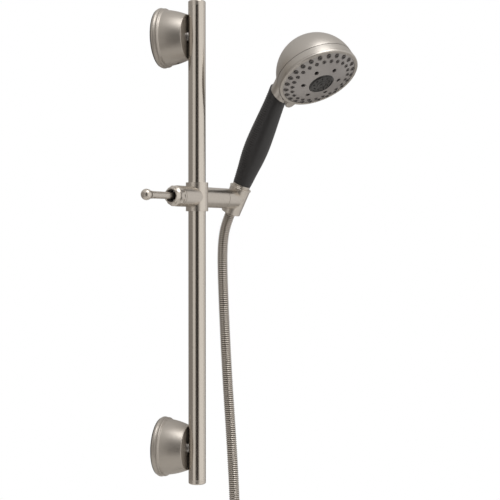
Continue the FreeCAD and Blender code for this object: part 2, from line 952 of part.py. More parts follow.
# The rear shell is drawn in the head's frame, where the middle plane also holds the handle's axis.
NECK_TILT = 13.0
NECK_FOOT = 140.0
NECK_LENGTH = 44.0


def handle_offset(height, lean_forward):
    """Where a sketch's upright axis lies on the handle's axis at a height, leaning to the front."""
    drop = d.head_along.value - height
    ahead = d.head_forward.value
    across = -drop * math.cos(tilt) - ahead * math.sin(tilt)
    along = drop * math.sin(tilt) - ahead * math.cos(tilt)
    angle = -90 - d.face_tilt.value + lean_forward
    return Placement(Vector(across, along, 0), Rotation(Vector(0, 0, 1), angle))


def make_rear_shell():
    """The domed back of the head with the metal neck and the spigot that plugs into the handle."""
    body = new_body("rear_shell", HEAD)
    flat = 1.5
    dome_back = d.dome_centre + math.sqrt(d.dome_radius.value**2 - flat**2)
    dome = [
        (0, -dome_back),
        (flat, -dome_back, d.dome_radius),
        (d.seam_radius, -d.seam_depth),
        (0, -d.seam_depth),
    ]
    spin(body, "dome", dome)
    neck_place = handle_offset(NECK_FOOT, NECK_TILT)
    spin(body, "neck", [(0, 0), (13.2, 0), (14.0, 22), (16.5, NECK_LENGTH), (0, NECK_LENGTH)], offset=neck_place)
    slope = math.tan(math.radians(d.grip_slant.value))
    grip_end = handle_offset(d.grip_top.value, 0)

    def under_grip_top(sketch):
        reach = 26.0
        draw_outline(sketch, [(-reach, -40), (reach, -40), (reach, slope * reach), (-reach, -slope * reach)])

    extrude(body, "under_grip_top", "XZ_Plane", under_grip_top, -40, 80, cut=True, within=grip_end)
    spigot_end = SOCKET_BOTTOM + 1.1
    spigot = [(0, spigot_end), (SPIGOT_RADIUS, spigot_end), (SPIGOT_RADIUS, 160), (0, 160)]
    spin(body, "spigot", spigot, offset=handle_offset(0, 0))
    inner = d.dome_radius - d.shell_wall
    hollow_back = d.dome_centre + math.sqrt(inner.value**2 - flat**2)
    mouth = d.seam_radius - d.shell_wall - 0.1
    hollow = [
        (0, -hollow_back),
        (flat, -hollow_back, inner),
        (mouth, -d.seam_depth),
        (mouth, -d.seam_depth + 1),
        (0, -d.seam_depth + 1),
    ]
    spin(body, "hollow", hollow, cut=True)
    waterway = [(0, 110), (6.0, 110), (6.0, 158), (0, 158)]
    spin(body, "spigot_bore", waterway, cut=True, offset=handle_offset(0, 0))
    neck_bore = [(0, 10), (7.0, 10), (7.0, NECK_LENGTH + 0.5), (0, NECK_LENGTH + 0.5)]
    spin(body, "neck_bore", neck_bore, cut=True, offset=neck_place)
    keep("rear_shell", body)


def face_height(radius, depth=0.0):
    """The height of the crowned face, or of a shell this far under it, at a radius."""
    ball = d.face_sphere.value
    return d.face_bulge.value - depth - ball + math.sqrt(ball**2 - radius**2)


FACE_WALL = 2.2
MAT_WALL = 2.0
FACE_HOLE = 16.6


def crowned_sheet(inner, outer, top_depth, bottom_depth):
    """The outline of a sheet that follows the crowned face between two radii."""
    ball = d.face_sphere
    return [
        (inner, face_height(inner, bottom_depth), -ball),
        (outer, face_height(outer, bottom_depth)),
        (outer, face_height(outer, top_depth), ball),
        (inner, face_height(inner, top_depth)),
    ]


def nozzle_rows():
    """Each row of nozzles: its name, its circle, its radius and its turn from the first spoke."""
    yield "outer_row", d.outer_nozzle_circle, d.outer_nozzle_radius, 0.0
    yield "inner_row", d.inner_nozzle_circle, d.inner_nozzle_radius, 180.0 / NOZZLES_PER_ROW


def make_face_plate():
    """The crowned face with two rows of nozzle holes and six spray holes."""
    body = new_body("face_plate", HEAD)
    spin(body, "crowned_plate", crowned_sheet(FACE_HOLE, d.face_radius.value, 0, FACE_WALL))
    for name, circle, radius, phase in nozzle_rows():
        angle = math.radians(phase)

        def hole(sketch, circle=circle, radius=radius, angle=angle):
            draw_circle(sketch, circle * math.cos(angle), circle * math.sin(angle), radius)

        cut = extrude(body, name, "XY_Plane", hole, -8, 20, cut=True)
        repeat_round(body, f"{name}_holes", [cut], NOZZLES_PER_ROW)

    def spray_hole(sketch):
        draw_circle(sketch, d.spray_hole_circle, 0, 2.9)

    cut = extrude(body, "spray_hole", "XY_Plane", spray_hole, -8, 20, cut=True)
    repeat_round(body, "spray_holes", [cut], SPRAY_HOLES)
    keep("face_plate", body)


def make_nozzle_mat():
    """The silicone sheet behind the face, with a nozzle standing in each hole of the two rows."""
    body = new_body("nozzle_mat", HEAD)
    top = FACE_WALL + 0.1
    spin(body, "sheet", crowned_sheet(31, 47.2, top, top + MAT_WALL))
    for name, circle, radius, phase in nozzle_rows():
        angle = math.radians(phase)
        foot = face_height(circle.value, top + MAT_WALL - 0.5)

        def nozzle(sketch, circle=circle, radius=radius, angle=angle):
            draw_circle(sketch, circle * math.cos(angle), circle * math.sin(angle), radius - 0.25)

        pad = extrude(body, name, "XY_Plane", nozzle, foot, face_height(circle.value) + 0.2 - foot)
        repeat_round(body, f"{name}_nozzles", [pad], NOZZLES_PER_ROW)
    keep("nozzle_mat", body)


def make_centre_insert():
    """The dark crowned disc in the middle of the face."""
    corners = [
        (0, 3.0),
        (d.insert_radius, 3.0),
        (d.insert_radius, face_height(16.3) - 0.4),
        (d.insert_radius - 0.8, face_height(16.3) + 0.5, 90),
        (CROWN_FLAT, d.face_bulge + 1.2),
        (0, d.face_bulge + 1.2),
    ]
    turned_part("centre_insert", HEAD, corners)


RING_BORE = 48.3


def make_selector_ring():
    """The turning ring between the seam and the face, with the thumb tab that sets the spray."""
    body = new_body("selector_ring", HEAD)
    rim = d.face_rim_radius
    corners = [
        (RING_BORE, -d.seam_depth + 0.5),
        (d.seam_radius - 0.1, -d.seam_depth + 0.5, 90),
        (rim - 0.45, -3.4),
        (rim - 0.75, -3.2),
        (rim - 0.75, -2.8),
        (rim, -2.5),
        (rim, -0.9, 1.4),
        (rim - 1.3, 0.5),
        (RING_BORE, 0.5),
    ]
    spin(body, "ring", corners)

    def tab(sketch):
        half, nose, root = 5.6, 7.4, 3.0
        outline = [
            (-rim - nose + 2.6, half),
            (-rim - nose, half - 2.6, 60),
            (-rim - nose, 2.6 - half),
            (-rim - nose + 2.6, -half),
            (-rim + root, -half - 1.2),
            (-rim + root, half + 1.2),
        ]
        draw_outline(sketch, outline)

    extrude(body, "thumb_tab", "XY_Plane", tab, -6.6, 6.8)
    keep("selector_ring", body)


def make_diverter_disc():
    """The ported disc that the ring turns behind the face."""
    body = new_body("diverter_disc", HEAD)
    spin(body, "disc", [(6, -12), (RING_BORE - 0.05, -12), (RING_BORE - 0.05, -8.2), (6, -8.2)])

    def port(sketch):
        draw_circle(sketch, 30, 0, 4)

    cut = extrude(body, "port", "XY_Plane", port, -13, 6, cut=True)
    repeat_round(body, "ports", [cut], 5)
    keep("diverter_disc", body)


def make_water_plate():
    """The fixed plate behind the face, with the boss that the face screw pulls on."""
    corners = [
        (2.3, -7.7),
        (47.6, -7.7),
        (47.6, -5.6),
        (9, -5.6),
        (9, 2.9),
        (3.9, 2.9),
        (3.9, -0.5),
        (2.3, -0.5),
    ]
    turned_part("water_plate", HEAD, corners)


def make_water_chamber():
    """The dish in the dome that feeds the diverter, with a boss for the face screw."""
    corners = [
        (2.05, -27),
        (43.2, -27),
        (47.2, -14),
        (47.2, -12.5),
        (45, -12.5),
        (41.4, -24.6),
        (8, -24.6),
        (8, -12.5),
        (2.05, -12.5),
    ]
    body = new_body("water_chamber", HEAD)
    spin(body, "dish", corners)

    def inlet(sketch):
        draw_circle(sketch, -30, 0, 7)

    extrude(body, "inlet", "XY_Plane", inlet, -30, 8, cut=True)
    keep("water_chamber", body)


def make_face_screw():
    corners = [(0, -26), (2.0, -26), (2.0, -0.5), (3.7, -0.5), (3.7, 2.2), (1.2, 2.2), (0, 0.8)]
    turned_part("face_screw", HEAD, corners)


make_inlet_nipple()
make_check_valve()
ring_part("flow_restrictor", HANDSET, 1.6, NIPPLE_BORE - 0.05, 7.0, 10.2)
make_handle_core()
make_rubber_grip()
ring_part("neck_seal", HANDSET, 6.1, SPIGOT_RADIUS, SOCKET_BOTTOM + 0.05, SOCKET_BOTTOM + 1.0)
make_rear_shell()
make_face_plate()
make_nozzle_mat()
make_centre_insert()
make_selector_ring()
make_diverter_disc()
make_water_plate()
make_water_chamber()
make_face_screw()


# ---------------------------------------------------------------- hose

# The hose's route below the nut, point by point, down to where its coil begins.
HOSE_ROUTE = (
    (92.5, -56.3, 26.1),
    (93.0, -52.0, 8.7),
    (93.2, -50.3, -15.0),
    (93.0, -51.0, -50.0),
    (92.9, -53.5, -110.0),
    (93.0, -57.5, -185.0),
    (93.0, -63.0, -262.0),
    (93.0, -67.0, -330.0),
    (93.0, -69.0, -388.0),
    (93.0, -69.3, -440.0),
)
FERRULE_GAP = 0.1
ARC_SHARE = 0.45
TAIL_LENGTH = 64.0
SUPPLY_NUT_LENGTH = 17.0
TIE_SIZE = 1.6
TIE_WIDTH = 12.0

hose_start = cup_origin + handset_axis * (nut_bottom.value - FERRULE_GAP)
coil_start = Vector(*HOSE_ROUTE[-1])
coil_middle = coil_start + Vector(0, -d.coil_radius.value, 0)
tail_x = coil_start.x - 2 * d.hose_radius.value * (COIL_ROWS - 1)


def rounded_path(points):
    """Straight runs joined by tangent arcs, with the arcs' radii."""
    edges = []
    radii = []
    here = points[0]
    for before, corner, after in zip(points, points[1:], points[2:]):
        arriving = (corner - before).normalize()
        leaving = (after - corner).normalize()
        half_turn = arriving.getAngle(leaving) / 2
        back_off = ARC_SHARE * min((corner - before).Length, (after - corner).Length)
        radii.append(back_off / math.tan(half_turn))
        start = corner - arriving * back_off
        end = corner + leaving * back_off
        outer_side = (arriving - leaving).normalize()
        middle = (start + end) * 0.5 + outer_side * (radii[-1] * (1 - math.cos(half_turn)))
        edges.append(Part.LineSegment(here, start).toShape())
        edges.append(Part.Arc(start, middle, end).toShape())
        here = end
    edges.append(Part.LineSegment(here, points[-1]).toShape())
    return Part.Wire(edges), radii


def make_hose_tube():
    """The hose from its ferrule to its coil, as one plain tube."""
    points = [hose_start] + [Vector(*spot) for spot in HOSE_ROUTE]
    path, radii = rounded_path(points)
    radius = d.hose_radius.value
    section = Part.Wire(Part.Circle(points[0], points[1] - points[0], radius).toShape())
    tube = document.addObject("Part::Feature", "hose_tube")
    tube.Shape = path.makePipeShell([section], True, False)
    expected = math.pi * radius**2 * path.Length
    print("hose arc radii", [round(value, 1) for value in radii])
    print("hose tube length", round(path.Length, 1), "volume", round(tube.Shape.Volume / expected, 4))
    turns = 2 * math.pi * d.coil_radius.value * COIL_TURNS
    print("hose length with coil and tail", round(path.Length + turns + TAIL_LENGTH, 1))
    keep("hose_tube", tube)


def make_hose_coil():
    """The outer shape of the stored turns, side by side, with the straight tail to the supply nut."""
    body = new_body("hose_coil", framed(coil_middle, Vector(-1, 0, 0), ROOM))
    width = 2 * d.hose_radius * COIL_ROWS

    def outer(sketch):
        draw_circle(sketch, 0, 0, d.coil_radius + d.hose_radius)

    def inner(sketch):
        draw_circle(sketch, 0, 0, d.coil_radius - d.hose_radius)

    extrude(body, "outer_shape", "XY_Plane", outer, -d.hose_radius, width)
    extrude(body, "eye", "XY_Plane", inner, -d.hose_radius - 1, width + 2, cut=True)

    def tail(sketch):
        draw_circle(sketch, -d.coil_radius, d.hose_radius * 2 * (COIL_ROWS - 1), d.hose_radius - 0.1)

    extrude(body, "tail", "XZ_Plane", tail, 0, TAIL_LENGTH)
    keep("hose_coil", body)


def make_supply_nut():
    """The hexagonal union nut at the supply end of the hose, with its washer's seat inside."""
    top = Vector(tail_x, coil_start.y, coil_start.z - TAIL_LENGTH)
    place = Placement(top, Rotation(Vector(1, 0, 0), 180))
    body = new_body("supply_nut", place)

    def hexagon(sketch):
        across = 13.6
        corners = [math.radians(60 * index) for index in range(6)]
        draw_outline(sketch, [(across * math.cos(angle), across * math.sin(angle)) for angle in corners])

    extrude(body, "hexagon", "XY_Plane", hexagon, 3, SUPPLY_NUT_LENGTH - 3)
    spin(body, "shoulder", [(0, 0), (8.6, 0), (10.2, 3.5), (0, 3.5)])
    seat, mouth = 9.6, SUPPLY_NUT_LENGTH + 1
    bore = [(0, 4), (seat, 4), (seat, 6.2), (thread_bore, 6.2), (thread_bore, mouth), (0, mouth)]
    spin(body, "thread_bore", bore, cut=True)
    keep("supply_nut", body)
    ring_part("supply_washer", place, 5.4, seat - 0.05, 4, 6.2)


def make_coil_tie():
    """A flat strap round the stored turns, at the foot of the coil."""
    foot = coil_middle - Vector(d.hose_radius.value * (COIL_ROWS - 1), 0, d.coil_radius.value)
    body = new_body("coil_tie", framed(foot, Vector(0, 1, 0), Vector(1, 0, 0)))
    half_across = d.hose_radius * COIL_ROWS + 0.3
    half_high = d.hose_radius + 0.9

    def strap(sketch):
        outer_across, outer_high = half_across + TIE_SIZE, half_high + TIE_SIZE
        draw_box(sketch, -outer_across, outer_across, -outer_high, outer_high)

    def turns(sketch):
        draw_box(sketch, -half_across, half_across, -half_high, half_high)

    extrude(body, "strap", "XY_Plane", strap, -TIE_WIDTH / 2, TIE_WIDTH)
    extrude(body, "turns_inside", "XY_Plane", turns, -TIE_WIDTH / 2 - 1, TIE_WIDTH + 2, cut=True)
    keep("coil_tie", body)


make_hose_tube()
make_hose_coil()
make_supply_nut()
make_coil_tie()


# ---------------------------------------------------------------- checks and files

document.recompute()
for item in document.Objects:
    if "Invalid" in item.State or "Error" in item.State:
        raise RuntimeError(f"{item.Label} failed: {item.State}")
for label, item in finished.items():
    if item.Shape.isNull() or not item.Shape.isValid():
        raise RuntimeError(f"{label} has no valid shape")

os.makedirs("parts", exist_ok=True)
for label, item in finished.items():
    item.Shape.exportStep(f"parts/{label}.step")
print(len(finished), "sub-parts written")
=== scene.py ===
import math

import bpy
from mathutils import Matrix, Vector


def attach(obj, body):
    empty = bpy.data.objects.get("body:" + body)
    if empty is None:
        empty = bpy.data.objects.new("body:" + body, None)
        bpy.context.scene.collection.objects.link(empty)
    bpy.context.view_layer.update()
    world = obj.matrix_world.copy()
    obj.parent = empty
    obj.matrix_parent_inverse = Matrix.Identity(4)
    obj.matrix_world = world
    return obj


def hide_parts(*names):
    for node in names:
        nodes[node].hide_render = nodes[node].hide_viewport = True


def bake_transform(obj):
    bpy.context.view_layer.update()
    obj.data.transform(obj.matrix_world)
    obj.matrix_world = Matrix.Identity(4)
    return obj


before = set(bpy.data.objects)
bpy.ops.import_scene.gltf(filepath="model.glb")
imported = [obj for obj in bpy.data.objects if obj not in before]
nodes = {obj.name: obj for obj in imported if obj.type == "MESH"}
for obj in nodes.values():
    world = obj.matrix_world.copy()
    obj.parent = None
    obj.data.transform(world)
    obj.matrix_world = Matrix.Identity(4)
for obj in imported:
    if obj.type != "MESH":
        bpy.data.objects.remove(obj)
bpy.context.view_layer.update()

# ---------------------------------------------------------------- frames

MM = 0.001
UP = Vector((0, 0, 1))
TURN, LEAN, TWIST, TILT = (math.radians(angle) for angle in (14.0, 25.59, -13.19, 32.04))
barrel_axis = Vector((math.cos(TURN), -math.sin(TURN), 0))
outward = barrel_axis.cross(UP)
handle_axis = UP * math.cos(LEAN) + outward * math.sin(LEAN)
lean_front = outward * math.cos(LEAN) - UP * math.sin(LEAN)
front = lean_front * math.cos(TWIST) + barrel_axis * math.sin(TWIST)
spray_axis = front * math.cos(TILT) - handle_axis * math.sin(TILT)
spray_up = handle_axis * math.cos(TILT) + front * math.sin(TILT)
CUP_REACH, HEAD_RISE, HEAD_FORWARD = 91.5, 191.2, 56.07
slider_origin = Vector((0, -49, 58.1)) * MM
cup_origin = slider_origin + barrel_axis * CUP_REACH * MM
head_origin = cup_origin + handle_axis * HEAD_RISE * MM + front * HEAD_FORWARD * MM


def placed(origin, z_axis, x_axis):
    """The matrix with this origin, local Z and local X."""
    y_axis = z_axis.cross(x_axis)
    turned = Matrix((x_axis, y_axis, z_axis)).transposed().to_4x4()
    return Matrix.Translation(origin) @ turned


HANDLE = placed(cup_origin, handle_axis, front)
HEAD = placed(head_origin, spray_axis, spray_up)


# ---------------------------------------------------------------- camera

camera_right = Vector((0.3061, -0.9520, 0.0))
camera_back = Vector((-0.9519, -0.3061, 0.01367))
camera_data = bpy.data.cameras.new("camera")
camera_data.sensor_width = 36
camera_data.lens = 81.89
camera = bpy.data.objects.new("camera", camera_data)
camera.matrix_world = placed(Vector((-1.3466, -0.5522, 0.0107)), camera_back, camera_right)
bpy.context.scene.collection.objects.link(camera)
bpy.context.scene.camera = camera


# ---------------------------------------------------------------- materials

def new_material(name):
    """An empty node material with its shader, and a call that adds a node to it."""
    material = bpy.data.materials.new(name)
    material.use_nodes = True
    tree = material.node_tree
    shader = tree.nodes["Principled BSDF"]

    def add(kind, **values):
        node = tree.nodes.new(kind)
        for key, value in values.items():
            if hasattr(node, key):
                setattr(node, key, value)
            else:
                node.inputs[key.replace("_", " ")].default_value = value
        return node

    return material, shader, add, tree.links.new


def add_grain(add, link, scale, detail=3.0):
    """A noise texture on the object's own coordinates; scale is per metre along X, Y and Z."""
    place = add("ShaderNodeTexCoord")
    stretch = add("ShaderNodeMapping", Scale=scale)
    noise = add("ShaderNodeTexNoise", Scale=1.0, Detail=detail)
    link(place.outputs["Object"], stretch.inputs["Vector"])
    link(stretch.outputs["Vector"], noise.inputs["Vector"])
    return noise.outputs["Fac"]


def add_range(add, link, source, low, high):
    """The source value, spread from low to high."""
    spread = add("ShaderNodeMapRange", From_Min=0.3, From_Max=0.7, To_Min=low, To_Max=high)
    link(source, spread.inputs["Value"])
    return spread.outputs["Result"]


def add_shades(add, link, source, dark, light):
    """A colour between dark and light."""
    mix = add("ShaderNodeMix", data_type="RGBA")
    link(source, mix.inputs["Factor"])
    mix.inputs[6].default_value = (*dark, 1)
    mix.inputs[7].default_value = (*light, 1)
    return mix.outputs[2]


def surface(
    name, colour, rough, grain, relief, metallic=0.0, spread=0.08, contrast=0.06, **sockets
):
    """A material whose colour, roughness and bump all vary with one grain."""
    material, shader, add, link = new_material(name)
    fac = add_grain(add, link, grain)
    dark = [channel * (1 - contrast) for channel in colour]
    light = [min(channel * (1 + contrast), 1.0) for channel in colour]
    even = add_range(add, link, fac, 0.0, 1.0)
    link(add_shades(add, link, even, dark, light), shader.inputs["Base Color"])
    roughness = add_range(add, link, fac, rough - spread / 2, rough + spread / 2)
    link(roughness, shader.inputs["Roughness"])
    bump = add("ShaderNodeBump", Strength=0.35, Distance=relief)
    link(fac, bump.inputs["Height"])
    link(bump.outputs["Normal"], shader.inputs["Normal"])
    shader.inputs["Metallic"].default_value = metallic
    for key, value in sockets.items():
        shader.inputs[key.replace("_", " ")].default_value = value
    return material


NICKEL = (0.60, 0.555, 0.50)
brushed_upright = surface(
    "nickel_brushed_upright", NICKEL, 0.17, (2600, 2600, 22), 2e-6, metallic=1.0, contrast=0.03
)
brushed_fine = surface(
    "nickel_brushed_fine", NICKEL, 0.30, (900, 900, 900), 2e-6, metallic=1.0, contrast=0.03
)
satin_shell = surface(
    "nickel_satin_shell", (0.50, 0.47, 0.435), 0.38, (1200, 1200, 1200), 3e-6,
    metallic=1.0, contrast=0.03,
)
flange_satin = surface(
    "nickel_satin_flange", (0.46, 0.425, 0.385), 0.42, (1200, 1200, 1200), 3e-6,
    metallic=1.0, contrast=0.03,
)
yoke_dark = surface("yoke_dark", (0.09, 0.085, 0.08), 0.5, (700, 700, 700), 1e-5, metallic=1.0)
plain_steel = surface(
    "steel_plain", (0.52, 0.52, 0.53), 0.32, (500, 500, 500), 8e-6, metallic=1.0, contrast=0.08
)
brass = surface("brass_machined", (0.70, 0.55, 0.28), 0.28, (600, 600, 600), 6e-6, metallic=1.0)
acetal = surface("acetal_moulded", (0.74, 0.73, 0.70), 0.45, (700, 700, 700), 1e-5, contrast=0.03)
# The water plate and diverter disc inside the head are painted near black as painted shade.
inside_painted_shade = surface("water_plate_painted_shade", (0.012, 0.011, 0.010), 0.5, (700, 700, 700), 1e-5)
seal_rubber = surface("seal_rubber", (0.025, 0.025, 0.025), 0.65, (900, 900, 900), 2e-5)
grip_rubber = surface(
    "grip_rubber", (0.024, 0.023, 0.024), 0.47, (1500, 1500, 1500), 2.5e-5,
    spread=0.12, contrast=0.18, Sheen_Weight=0.15, Sheen_Roughness=0.4,
)
nozzle_rubber = surface(
    "nozzle_silicone", (0.11, 0.10, 0.095), 0.5, (1300, 1300, 1300), 2e-5, contrast=0.15
)
# Near-black painted shade for the inside of each nozzle's bore, which is closed by a flat disc.
nozzle_bore_shade = surface("nozzle_bore_shade", (0.010, 0.009, 0.009), 0.6, (1300, 1300, 1300), 1e-5)
face_satin = surface(
    "face_satin_grey", (0.38, 0.36, 0.35), 0.34, (1600, 1600, 1600), 6e-6,
    metallic=0.55, contrast=0.05,
)
insert_charcoal = surface(
    "insert_charcoal", (0.022, 0.021, 0.021), 0.26, (1400, 1400, 1400), 1e-5,
    contrast=0.2, Coat_Weight=0.2,
)
strap_black = surface(
    "strap_black", (0.03, 0.03, 0.03), 0.55, (1200, 300, 1200), 4e-5, contrast=0.2
)


def make_hose_material():
    """Metal strip with painted shade darkening the grooves between its turns."""
    material, shader, add, link = new_material("hose_interlock")
    groove_shade = add("ShaderNodeAttribute", attribute_name="groove_shade")
    grain = add_grain(add, link, (1500, 1500, 1500))
    metal = add_shades(add, link, grain, (0.60, 0.55, 0.49), (0.70, 0.65, 0.59))
    mix = add("ShaderNodeMix", data_type="RGBA")
    link(groove_shade.outputs["Fac"], mix.inputs["Factor"])
    link(metal, mix.inputs[6])
    # The near-black colour mixed in by the groove attribute is painted shade in the grooves.
    mix.inputs[7].default_value = (0.07, 0.058, 0.05, 1)
    link(mix.outputs[2], shader.inputs["Base Color"])
    link(add_range(add, link, grain, 0.20, 0.30), shader.inputs["Roughness"])
    shader.inputs["Metallic"].default_value = 1.0
    return material


hose_interlock = make_hose_material()

LOOKS = {
    brushed_upright: "slide_bar",
    brushed_fine: "upper_end_cap lower_end_cap slider_body tension_collar lever_rod lever_knob "
    "cradle hose_cone_nut inlet_nipple supply_nut",
    flange_satin: "upper_flange lower_flange",
    yoke_dark: "lever_yoke",
    satin_shell: "rear_shell selector_ring",
    plain_steel: "upper_wall_bracket lower_wall_bracket upper_post lower_post post_screws "
    "flange_set_screws brake_spring lever_pin pivot_screw pivot_washer hose_ferrule face_screw",
    brass: "upper_bar_insert lower_bar_insert",
    acetal: "upper_bush lower_bush brake_shoe friction_washer check_valve flow_restrictor "
    "handle_core water_chamber",
    inside_painted_shade: "water_plate diverter_disc",
    seal_rubber: "upper_flange_gasket lower_flange_gasket hose_washer supply_washer neck_seal",
    grip_rubber: "rubber_grip",
    nozzle_rubber: "nozzle_mat",
    face_satin: "face_plate",
    insert_charcoal: "centre_insert",
    hose_interlock: "hose_tube hose_coil",
    strap_black: "coil_tie",
}
for look, names in LOOKS.items():
    for name in names.split():
        nodes[name].data.materials.clear()
        nodes[name].data.materials.append(look)


# ---------------------------------------------------------------- mesh helpers

def new_piece(name, points, faces, looks, places=None):
    """A smooth mesh piece with its materials; places gives each face's material."""
    mesh = bpy.data.meshes.new(name)
    mesh.from_pydata(points, [], faces)
    mesh.polygons.foreach_set("use_smooth", [True] * len(faces))
    for look in looks:
        mesh.materials.append(look)
    if places:
        mesh.polygons.foreach_set("material_index", places)
    mesh.update()
    piece = bpy.data.objects.new(name, mesh)
    bpy.context.scene.collection.objects.link(piece)
    return piece


def strip_faces(rings, around, first=0):
    """Quads between rings of points, each ring closed on itself."""
    faces = []
    for ring in range(rings - 1):
        for spot in range(around):
            a = first + ring * around + spot
            b = first + ring * around + (spot + 1) % around
            faces.append((a, b, b + around, a + around))
    return faces


def turned(outline, place, around, points, faces):
    """Add an outline of (radius, height), turned about the place's local Z."""
    first = len(points)
    for radius, height in outline:
        for step in range(around):
            angle = 2 * math.pi * step / around
            spot = Vector((radius * math.cos(angle), radius * math.sin(angle), height)) * MM
            points.append(place @ spot)
    faces.extend(strip_faces(len(outline), around, first))


# ---------------------------------------------------------------- hose

HOSE_RADIUS = 0.007
COIL_RADIUS = 0.0708
COIL_NEAR, COIL_SHIFT = 0.093, 0.042
COIL_MIDDLE_Y, COIL_MIDDLE_Z = -0.1393, -0.440
COIL_TURNS = 3
POINTS_PER_TURN = 16
STRIP_PITCH = 0.0026
# Along one turn of the strip: how far the surface sinks, and how dark its painted groove shade is
# there.
STRIP_PROFILE = (
    (0.0002, 0.0), (0.0, 0.0), (0.0, 0.0), (0.0002, 0.2),
    (0.0009, 1.0), (0.0010, 1.0), (0.0009, 1.0),
)
hose_start = cup_origin - handle_axis * 19.6 * MM
HOSE_ROUTE = (
    (0.0925, -0.0563, 0.0261),
    (0.0930, -0.0520, 0.0087),
    (0.0932, -0.0503, -0.0150),
    (0.0930, -0.0510, -0.0500),
    (0.0929, -0.0535, -0.1100),
    (0.0930, -0.0575, -0.1850),
    (0.0930, -0.0630, -0.2620),
    (0.0930, -0.0670, -0.3300),
    (0.0930, -0.0690, -0.3880),
    (0.0930, -0.0693, -0.4250),
)
HOSE_TAIL = (
    (0.0510, -0.0693, -0.4600),
    (0.0510, -0.0693, -0.4750),
    (0.0510, -0.0693, -0.4900),
    (0.0510, -0.0693, -0.5045),
)


def hose_points():
    """The route, the stored turns wound side by side, and the tail."""
    coil = []
    for step in range(1, COIL_TURNS * POINTS_PER_TURN):
        angle = -2 * math.pi * step / POINTS_PER_TURN
        across = COIL_NEAR - COIL_SHIFT * step / (COIL_TURNS * POINTS_PER_TURN)
        along, high = COIL_RADIUS * math.cos(angle), COIL_RADIUS * math.sin(angle)
        coil.append((across, COIL_MIDDLE_Y + along, COIL_MIDDLE_Z + high))
    return [tuple(hose_start), *HOSE_ROUTE, *coil, *HOSE_TAIL]


def smooth_line(spots):
    """The points along a NURBS spline through the route, close together."""
    curve = bpy.data.curves.new("route", "CURVE")
    curve.dimensions = "3D"
    curve.resolution_u = 60
    spline = curve.splines.new("NURBS")
    spline.points.add(len(spots) - 1)
    for point, spot in zip(spline.points, spots):
        point.co = (*spot, 1)
    spline.order_u = 3
    spline.use_endpoint_u = True
    holder = bpy.data.objects.new("route", curve)
    bpy.context.scene.collection.objects.link(holder)
    bpy.context.view_layer.update()
    evaluated = holder.evaluated_get(bpy.context.evaluated_depsgraph_get())
    mesh = bpy.data.meshes.new_from_object(evaluated)
    line = [vertex.co.copy() for vertex in mesh.vertices]
    bpy.data.objects.remove(holder)
    bpy.data.meshes.remove(mesh)
    return line


def even_steps(line, gap):
    """Points the same distance apart along a line."""
    steps = [line[0]]
    left = gap
    for here, there in zip(line, line[1:]):
        run = (there - here).length
        while left <= run:
            steps.append(here.lerp(there, left / run))
            left += gap
        left -= run
    return steps


def make_hose():
    """The interlocked hose from the conical nut to the supply nut."""
    line = even_steps(smooth_line(hose_points()), STRIP_PITCH / len(STRIP_PROFILE))
    around = 18
    points, groove_shade = [], []
    side = (line[1] - line[0]).orthogonal().normalized()
    for index, here in enumerate(line):
        ahead = line[min(index + 1, len(line) - 1)] - line[max(index - 1, 0)]
        ahead.normalize()
        side = (side - ahead * side.dot(ahead)).normalized()
        other = ahead.cross(side)
        # dark is the painted shade laid on the grooves between the strip's turns.
        depth, dark = STRIP_PROFILE[index % len(STRIP_PROFILE)]
        for step in range(around):
            angle = 2 * math.pi * step / around
            spread = side * math.cos(angle) + other * math.sin(angle)
            points.append(here + spread * (HOSE_RADIUS - depth))
            groove_shade.append(dark)
    faces = strip_faces(len(line), around)
    faces.append(tuple(reversed(range(around))))
    faces.append(tuple(range(len(points) - around, len(points))))
    hose = new_piece("hose", points, faces, [hose_interlock])
    hose.data.attributes.new("groove_shade", "FLOAT", "POINT").data.foreach_set("value", groove_shade)
    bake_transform(hose)
    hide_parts("hose_tube", "hose_coil")


# ---------------------------------------------------------------- rubber grip

GRIP_BOTTOM, GRIP_TOP, GRIP_SLANT = 21.2, 151.2, math.radians(30.5)
GRIP_RADII = (
    (21.2, 11.9), (30.0, 12.9), (42.0, 14.0), (58.0, 15.8), (76.0, 16.6),
    (97.0, 15.9), (116.0, 14.7), (134.0, 13.6), (162.0, 12.9),
)
GRIP_BORE = 10.45
RIB_PITCH = 2.9
RIB_DEPTH = 0.5


def smooth_step(value, low, high):
    share = min(max((value - low) / (high - low), 0.0), 1.0)
    return share * share * (3 - 2 * share)


def grip_radius(height):
    """The grip's radius at a height, eased between its sections."""
    last = len(GRIP_RADII) - 1
    index = max(i for i in range(last) if GRIP_RADII[i][0] <= height or i == 0)
    (h1, r1), (h2, r2) = GRIP_RADII[index], GRIP_RADII[index + 1]
    r0 = GRIP_RADII[index - 1][1] if index else 2 * r1 - r2
    r3 = GRIP_RADII[index + 2][1] if index + 2 <= last else 2 * r2 - r1
    t = (height - h1) / (h2 - h1)
    bend = 2 * r1 + (r2 - r0) * t + (2 * r0 - 5 * r1 + 4 * r2 - r3) * t**2
    return (bend + (3 * r1 - r0 - 3 * r2 + r3) * t**3) / 2


